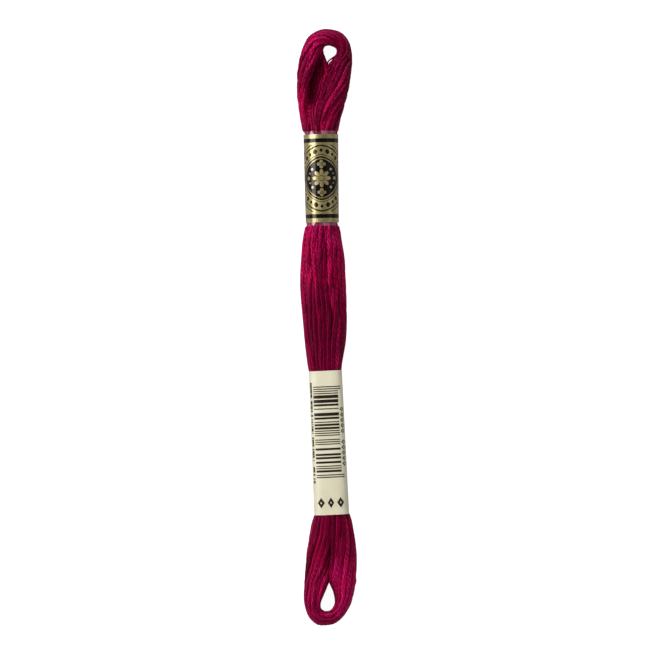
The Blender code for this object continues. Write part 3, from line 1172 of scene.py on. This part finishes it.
@dataclass(frozen=True)
class FlossFinish:
    """Mercerised cotton: a deep dye, a soft shine, and the fine twist of each strand.

    The colour goes from dark to light by the strand's tone, which holds painted light and shade, its raised
    plies and its patches. The crests of the raised plies are painted lighter, a painted highlight, and carry
    light pink flecks of painted highlight. ply_pitch is in millimetres along the strand, scales are in waves a
    metre.
    """

    name: str = "mercerised_cotton"
    dark: Colour = (0.085, 0.0003, 0.011, 1)
    light: Colour = (0.43, 0.0014, 0.074, 1)
    sheen: Colour = (1.0, 0.03, 0.25, 1)
    ruby: Colour = (0.45, 0.0010, 0.054, 1)
    # Colour of the painted highlight flecks.
    painted_highlight_colour: Colour = (0.72, 0.032, 0.19, 1)
    shine: Colour = (1.0, 0.05, 0.36, 1)
    plies: float = 4.0
    ply_pitch: float = 6.0
    usual_share: float = 0.36
    by_tone: float = 0.17
    by_ply: float = 0.24
    by_patch: float = 0.6
    grain_scale: float = 2800.0
    patch_scale: float = 260.0
    hue_scale: float = 110.0

    def build(self, shared: SharedGroups) -> Material:
        """Makes the material.

        Args:
            shared: the shared groups.

        Returns:
            The material.
        """
        surface = Surface(self.name, shared)
        along, around, _ = surface.split(surface.node("UVMap", uv_map="strand").outputs[0])
        turns = (along / self.ply_pitch + around) * self.plies
        ply = (turns * math.tau).sine() * 0.5 + 0.5
        tone = surface.value("Attribute", "Fac", attribute_name="tone")
        where = surface.node("TexCoord").outputs["Object"]
        grain = surface.noise(where, self.grain_scale)
        patch = surface.noise(where, self.patch_scale) + grain * 0.6 - 0.9
        # Painted highlight: the crests of the raised plies are painted lighter, less so where the tone is
        # dark.
        raised = ply * tone.ranged(-2.0, 0.5, 0.3, 1.0)
        share = tone * self.by_tone + raised * self.by_ply + patch * self.by_patch + self.usual_share
        light = surface.mixed(surface.noise(where, self.hue_scale).ranged(0.40, 0.60), self.light, self.ruby)
        dyed = surface.mixed((share | 0.0) & 1.0, self.dark, light)
        # Painted highlight: light pink flecks on the raised plies where the fine grain is high.
        painted_highlight_fleck = raised.ranged(0.55, 1.0) * grain.ranged(0.42, 0.62, 0.0, 0.55)
        return surface.dressed(
            Base_Color=surface.mixed(painted_highlight_fleck, dyed, self.painted_highlight_colour),
            Roughness=0.33,
            Metallic=0.22,
            Specular_IOR_Level=0.32,
            Specular_Tint=self.shine,
            Sheen_Weight=0.10,
            Sheen_Roughness=0.35,
            Sheen_Tint=self.sheen,
            Normal=surface.bumped(ply, 0.6, 0.00006),
        )


@dataclass(frozen=True)
class FilmFinish:
    """Clear film printed with gold and black: bare ends, two stripes and a row of flower panels.

    Sizes are in millimetres on the flat sheet. stripe is measured from each end, and panel is the half width
    and half height of a panel. The keyline, the outlines and the border of leaves run round its middle, as
    shares of its own size: the lines from where to where, the border at which distance and how wide.
    """

    width: float
    girth: float
    length: float
    name: str = "printed_film"
    gold: Colour = (0.60, 0.495, 0.235, 1)
    bronze: Colour = (0.28, 0.22, 0.085, 1)
    black: Colour = (0.0035, 0.0025, 0.0030, 1)
    # Colour of the bare ends: their faint hazy streaks, and the painted reflection on them.
    haze_and_painted_reflection: Colour = (0.50, 0.34, 0.42, 1)
    bare: float = 0.93
    stripe: tuple[float, float] = (2.05, 3.17)
    panels: int = 2
    panel: tuple[float, float] = (5.9, 6.0)
    panel_zone: float = 9.1
    bow: float = 1.6
    keyline: tuple[float, float] = (0.88, 0.92)
    outlines: tuple[tuple[float, float], ...] = ((1.055, 1.09), (1.45, 1.52), (1.61, 1.66))
    border: tuple[float, float] = (1.27, 0.125)
    leaves: int = 28

    def build(self, shared: SharedGroups) -> Material:
        """Makes the material.

        Args:
            shared: the shared groups.

        Returns:
            The material.
        """
        surface = Surface(self.name, shared)
        across, down = surface.placed(shared.sheet_place, Width=self.width, Length=self.length)
        end = down & (self.length - down)
        printed = end.within(self.bare, self.length, 0.08)
        ink = end.within(*self.stripe) | self._panels(across, down)
        cloud, grain = surface.placed(shared.grain, CloudScale=420.0, GrainScale=9000.0)
        clean = surface.value("Clamp", _0=cloud * 1.2 + grain * 0.6 - 0.55)
        metal = surface.mixed(clean, self.bronze, self.gold)
        # Painted reflection: on each bare end a wedge left of the middle is drawn nearly opaque in the bare
        # ends' colour, widening towards the print; the rest keeps only faint hazy streaks.
        fold = end / self.bare * 0.55 + 0.12
        painted_fold_reflection = (across + 2.5).within(fold * -1.0, fold) * 0.75
        streaks = surface.value("TexNoise", "Fac", noise_dimensions="1D", _W=across * 0.45, _Scale=1.0)
        seen = streaks.ranged(0.42, 0.64, 0.02, 0.15) | painted_fold_reflection
        stretched = surface.node("CombineXYZ", _0=across * 0.55, _1=down * 0.11).outputs[0]
        return surface.dressed(
            Base_Color=surface.mixed(printed, self.haze_and_painted_reflection, surface.mixed(ink, metal, self.black)),
            Metallic=printed * (1.0 - ink) * 0.78,
            Roughness=grain * 0.16 + 0.28,
            Alpha=printed | seen,
            Specular_IOR_Level=0.0,
            Coat_Weight=0.72,
            Coat_Roughness=0.15,
            Coat_IOR=1.5,
            Normal=surface.bumped(surface.noise(stretched, 1.0), 0.35, 0.0003),
        )

    def _panels(self, across: Value, down: Value) -> Value:
        """Draws the flower panels and what fills the gold between them.

        Args:
            across: millimetres from the top middle.
            down: millimetres from the upper end.

        Returns:
            Where the ink is black.
        """
        half = self.girth / self.panels / 2
        x, y = abs(across.repeated(half)), abs(down - self.length / 2)
        reach = ((x / self.panel[0]) ** self.bow + (y / self.panel[1]) ** self.bow) ** (1 / self.bow)
        black, keyline, *outlines = (
            reach.within(start, end, 0.012) for start, end in ((-1.0, 1.0), self.keyline, *self.outlines)
        )
        gold = any_of(
            self._flower(x, y, 0.0, 2.45, 8),
            self._flower(x, y, 3.85, 1.15, 4),
            self._dot(x, y, 2.55, 2.45, 0.36),
            self._dot(x, y, 3.75, 0.0, 0.50),
            self._dot(x, y, 3.30, 1.30, 0.24),
            keyline,
        )
        corner = half - x
        ground = any_of(
            self._border(x, y, reach),
            self._flower(corner, y, 6.9, 1.35, 4),
            self._flower(corner, y, 0.0, 1.25, 4),
            self._dot(corner, y, 0.0, 4.4, 0.34),
            *outlines,
        )
        return y.within(-1.0, self.panel_zone) * (black * (1.0 - gold) | ground)

    def _border(self, x: Value, y: Value, reach: Value) -> Value:
        """A wreath of leaves round the panel, every second one small.

        Args:
            x: millimetres beside the panel's middle.
            y: millimetres above or below it.
            reach: distance from it, as a share of the panel's own size.

        Returns:
            The mask of the leaves.
        """
        turn = (y / self.panel[1]).arctan2(x / self.panel[0])
        beat = turn * (self.leaves / math.tau) + 0.5
        size = beat.floor().modulo(2.0) * -0.45 + 1.0
        beside, away = abs(beat.fract() - 0.5), abs(reach - self.border[0])
        leaf = (beside / 0.40) ** 1.4 + (away / self.border[1]) ** 1.4
        return (leaf - size).ranged(-0.06, 0.06, 1.0, 0.0)

    @staticmethod
    def _dot(x: Value, y: Value, at_x: float, at_y: float, size: float) -> Value:
        """A round dot of the given radius in millimetres."""
        dx, dy = x - at_x, y - at_y
        return (dx * dx + dy * dy).root().ranged(size - 0.03, size + 0.03, 1.0, 0.0)

    @staticmethod
    def _flower(x: Value, y: Value, at_y: float, size: float, petals: int) -> Value:
        """A flower with a ring round its eye.

        Args:
            x: millimetres beside the flower's axis.
            y: millimetres above or below the panel's middle.
            at_y: where the flower's middle is.
            size: its radius in millimetres.
            petals: how many petals it has.

        Returns:
            The mask of the flower.
        """
        dy = y - at_y
        away = (x * x + dy * dy).root()
        lobe = abs((dy.arctan2(x) * (petals / 2)).cosine()) ** 0.55
        petal = (away - (lobe * 0.72 + 0.28) * size).ranged(-0.04, 0.04, 1.0, 0.0)
        ring = abs(away - 0.30 * size).ranged(0.05, 0.11, 1.0, 0.0)
        return petal * (1.0 - ring)


@dataclass(frozen=True)
class LabelFinish:
    """Cream satin paper printed with a block of bars, a dashed rule and hollow diamonds.

    Sizes are in millimetres: bars is where the block begins and ends down the label, bar_sides how far it
    reaches to the left and right, and long_side how far its longest bars do.
    """

    width: float
    length: float
    name: str = "label_paper"
    cream: Colour = (0.670, 0.633, 0.478, 1)
    shade: Colour = (0.620, 0.580, 0.418, 1)
    ink: Colour = (0.011, 0.006, 0.004, 1)
    module: float = 0.30
    bars: tuple[float, float] = (4.2, 29.4)
    bar_sides: tuple[float, float] = (-3.2, 2.85)
    long_side: float = 3.55
    pattern: float = 7.0
    diamond: tuple[float, float] = (0.80, 1.45)
    diamonds_at: tuple[float, float] = (-0.05, 35.9)
    diamond_pitch: float = 2.30
    dash_pitch: float = 0.62
    dash_sides: tuple[float, float] = (-4.32, -3.56)
    dashes: tuple[float, float] = (2.6, 30.6)
    small_at: float = 3.72
    small_pitch: float = 1.48
    small_runs: tuple[tuple[float, float], ...] = ((9.86, 17.26), (18.74, 26.14))

    def build(self, shared: SharedGroups) -> Material:
        """Makes the material.

        Args:
            shared: the shared groups.

        Returns:
            The material.
        """
        surface = Surface(self.name, shared)
        across, down = surface.placed(shared.sheet_place, Width=self.width, Length=self.length)
        cloud, grain = surface.placed(shared.grain, CloudScale=180.0, GrainScale=5200.0)
        paper = surface.mixed(cloud.ranged(0.3, 0.7), self.shade, self.cream)
        inked = any_of(self._bars(across, down), self._diamonds(across, down), self._sides(across, down))
        inked = inked * grain.ranged(0.2, 0.4, 0.92, 1.0)
        return surface.dressed(
            Base_Color=surface.mixed(inked, paper, self.ink),
            Roughness=grain * 0.2 + 0.30,
            Specular_IOR_Level=0.3,
            Normal=surface.bumped(grain, 0.25, 0.00003),
        )

    def _bars(self, across: Value, down: Value) -> Value:
        """A block of uneven bars that stands for no number, the pair at each end longer than the rest.

        Each cell of four modules holds a bar of one to four, some of which start a module late or are split
        into two. The cells at the ends and in the middle hold a pair.

        Args:
            across: millimetres from the top middle.
            down: millimetres from the upper end.

        Returns:
            The mask of the bars.
        """
        cell = self.module * 4
        count = round((self.bars[1] - self.bars[0]) / cell)
        at = (down - self.bars[0]) / cell
        step, place = at.floor(), at.fract() * 4.0
        for_thick, for_late, for_split = down.graph.split(down.graph.chance(step + self.pattern, "Color"))
        end = (step & (float(count - 1) - step)) < 0.5
        pair = end | (abs(step - float(count // 2)) < 0.5)
        thick = (for_thick * 2.6 + 0.7).ceil()
        late = (for_late > 0.5) * (thick < 2.5) * (1.0 - pair)
        thick = thick | pair * 3.0
        split = (for_split > 0.72) * (thick > 2.5) | pair
        bar = place.within(late, late + thick, 0.1) * (1.0 - place.within(1.0, 2.0, 0.1) * split)
        right = end * (self.long_side - self.bar_sides[1]) + self.bar_sides[1]
        return bar * down.within(*self.bars, 0.02) * across.within(self.bar_sides[0], right)

    def _diamonds(self, across: Value, down: Value) -> Value:
        """Three diamonds with small eyes, side by side under the bars.

        Args:
            across: millimetres from the top middle.
            down: millimetres from the upper end.

        Returns:
            The mask of the diamonds.
        """
        beside = across - self.diamonds_at[0]
        x, y = abs(beside.repeated(self.diamond_pitch / 2)), abs(down - self.diamonds_at[1])
        size = x / self.diamond[0] + y / self.diamond[1]
        three = abs(beside) < self.diamond_pitch * 1.5
        return size.ranged(0.96, 1.04, 1.0, 0.0) * size.ranged(0.20, 0.28) * three

    def _sides(self, across: Value, down: Value) -> Value:
        """A dashed rule along the left and two runs of little hollow diamonds along the right of the bars.

        Args:
            across: millimetres from the top middle.
            down: millimetres from the upper end.

        Returns:
            The mask of both.
        """
        beat = down / self.dash_pitch
        chance = down.graph.chance(beat.floor(), "Value")
        dash = (beat.fract() < chance.ranged(0.15, 0.7, 0.35, 1.05)) * (chance > 0.2)
        dash = dash * across.within(*self.dash_sides) * down.within(*self.dashes)
        half = self.small_pitch / 2
        away = abs(across - self.small_at) + abs((down - self.small_runs[0][0] - half).repeated(half))
        runs = any_of(*(down.within(*run) for run in self.small_runs))
        return dash | away.within(0.28, 0.68) * runs


@dataclass(frozen=True)
class FloorFinish:
    """A lit white table with a faint paper grain. It shows white, and glows less on the skein."""

    name: str = "light_table"
    colour: Colour = (0.32, 0.32, 0.32, 1)
    worn: Colour = (0.28, 0.28, 0.28, 1)
    glow: float = 0.96
    spill: Colour = (0.10, 0.10, 0.10, 1)

    def build(self, shared: SharedGroups) -> Material:
        """Makes the material.

        Args:
            shared: the shared groups.

        Returns:
            The material.
        """
        surface = Surface(self.name, shared)
        cloud, _ = surface.placed(shared.grain, CloudScale=12.0, GrainScale=900.0)
        return surface.dressed(
            Base_Color=surface.mixed(cloud, self.worn, self.colour),
            Roughness=0.85,
            Specular_IOR_Level=0.1,
            Emission_Color=surface.mixed(surface.value("LightPath", "Is Camera Ray"), self.spill, WHITE),
            Emission_Strength=self.glow,
        )


@dataclass(frozen=True)
class Lamp:
    """A soft box that faces the skein: its tilt from overhead and its bearing in degrees, sizes in metres."""

    name: str
    tilt: float
    bearing: float
    distance: float
    wide: float
    long: float
    radiance: float

    def build(self) -> None:
        """Makes the light."""
        lamp = bpy.data.lights.new(self.name, "AREA")
        lamp.shape = "RECTANGLE"
        lamp.size, lamp.size_y = self.wide, self.long
        lamp.energy = self.radiance * math.pi * self.wide * self.long
        obj = bpy.data.objects.new(self.name, lamp)
        tilt, bearing = math.radians(self.tilt), math.radians(self.bearing)
        place = self.distance * Vector(
            (math.sin(tilt) * math.cos(bearing), math.sin(tilt) * math.sin(bearing), math.cos(tilt))
        )
        obj.location = place
        obj.rotation_euler = (-place).to_track_quat("-Z", "Y").to_euler()
        bpy.context.scene.collection.objects.link(obj)


@dataclass(frozen=True)
class Studio:
    """White table, soft light from the upper left and a camera straight above. Sizes in metres.

    The light comes from a tent. foot and rim are the heights between which its walls go from the horizon's
    strength to the dome's, and from that to the opening's, as shares of the way up.
    """

    field_of_view: float = 0.1789
    camera_height: float = 0.9
    look_x: float = 0.00014
    look_y: float = 0.0
    look_z: float = 0.004
    dome: float = 0.22
    horizon: float = 0.06
    opening: float = 0.04
    foot: tuple[float, float] = (0.05, 0.35)
    rim: tuple[float, float] = (0.72, 0.92)
    lamps: tuple[Lamp, ...] = (
        Lamp("key_light", 50, 156, 0.60, 1.00, 0.32, 5.0),
        Lamp("back_light", 62, 90, 0.60, 0.60, 0.30, 4.6),
        Lamp("side_light", 56, -34, 0.70, 0.80, 0.30, 1.7),
    )

    def build(self, shared: SharedGroups) -> None:
        """Sets the floor, the lights and the camera.

        Args:
            shared: the shared groups.
        """
        self._floor(shared)
        self._world()
        for lamp in self.lamps:
            lamp.build()
        camera = bpy.data.cameras.new("camera")
        camera.sensor_width = 36.0
        camera.lens = camera.sensor_width * (self.camera_height - self.look_z) / self.field_of_view
        camera.clip_start = 0.01
        camera.clip_end = 10.0
        obj = bpy.data.objects.new("camera", camera)
        obj.location = (self.look_x, self.look_y, self.camera_height)
        bpy.context.scene.collection.objects.link(obj)
        bpy.context.scene.camera = obj

    @staticmethod
    def _floor(shared: SharedGroups) -> None:
        """Lays a wide pale sheet under the skein.

        Args:
            shared: the shared groups.
        """
        select_none()
        bpy.ops.mesh.primitive_plane_add(size=3.0)
        floor = bpy.context.object
        floor.name = "floor"
        floor.data.materials.append(FloorFinish().build(shared))

    def _world(self) -> None:
        """Lights the skein softly from the walls of a tent, open at the top where the camera looks in."""
        world = bpy.data.worlds.new("studio")
        world.use_nodes = True
        graph = Graph(world.node_tree)
        up = graph.split(graph.node("TexCoord").outputs["Generated"])[2]
        roof = up.ranged(*self.rim, self.dome, self.opening)
        walls = up.ranged(*self.foot, self.horizon, self.dome)
        background = graph.tree.nodes["Background"].inputs
        graph.feed(background["Color"], WHITE)
        graph.feed(background["Strength"], (roof & walls) | graph.value("LightPath", "Is Camera Ray"))
        bpy.context.scene.world = world
        bpy.context.scene.view_settings.view_transform = "Standard"


def settle(obj: Object, replaced: str) -> None:
    """Hands a finished piece to the frame.

    Args:
        obj: the piece.
        replaced: the solid that it takes the place of.
    """
    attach(obj, "root")
    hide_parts(replaced)
    LOG.info("%s: %d faces, replaces %s", obj.name, len(obj.data.polygons), replaced)


def main() -> None:
    """Builds the studio and every piece of the skein."""
    shared = SharedGroups()
    Studio().build(shared)
    lay = ThreadLay(HankForm())
    lay.pack()
    for obj in Floss(lay).build(FlossFinish().build(shared)):
        settle(obj, "hank")
    film = Wrap(
        name="film_band",
        x=-1.47,
        y=40.60,
        length=25.8,
        half_upper=4.78,
        half_lower=4.55,
        half_height=4.15,
        axis_z=4.35,
        turned=1.0,
        sheet=0.10,
        lap=2.5,
        ripple=0.03,
    )
    film_finish = FilmFinish(width=film.girth + film.lap, girth=film.girth, length=film.length)
    settle(film.build(film_finish.build(shared)), "upper_band")
    label = Wrap(
        name="paper_label",
        x=0.42,
        y=-31.35,
        length=39.2,
        half_upper=4.55,
        half_lower=4.78,
        half_height=4.05,
        axis_z=4.25,
        turned=2.6,
        sheet=0.12,
        lap=3.0,
        ripple=0.02,
        square=3.5,
    )
    label_finish = LabelFinish(width=label.girth + label.lap, length=label.length)
    settle(label.build(label_finish.build(shared)), "lower_band")


if __name__ == "__main__":
    logging.basicConfig(level=logging.INFO, format="%(name)s: %(message)s")
    main()
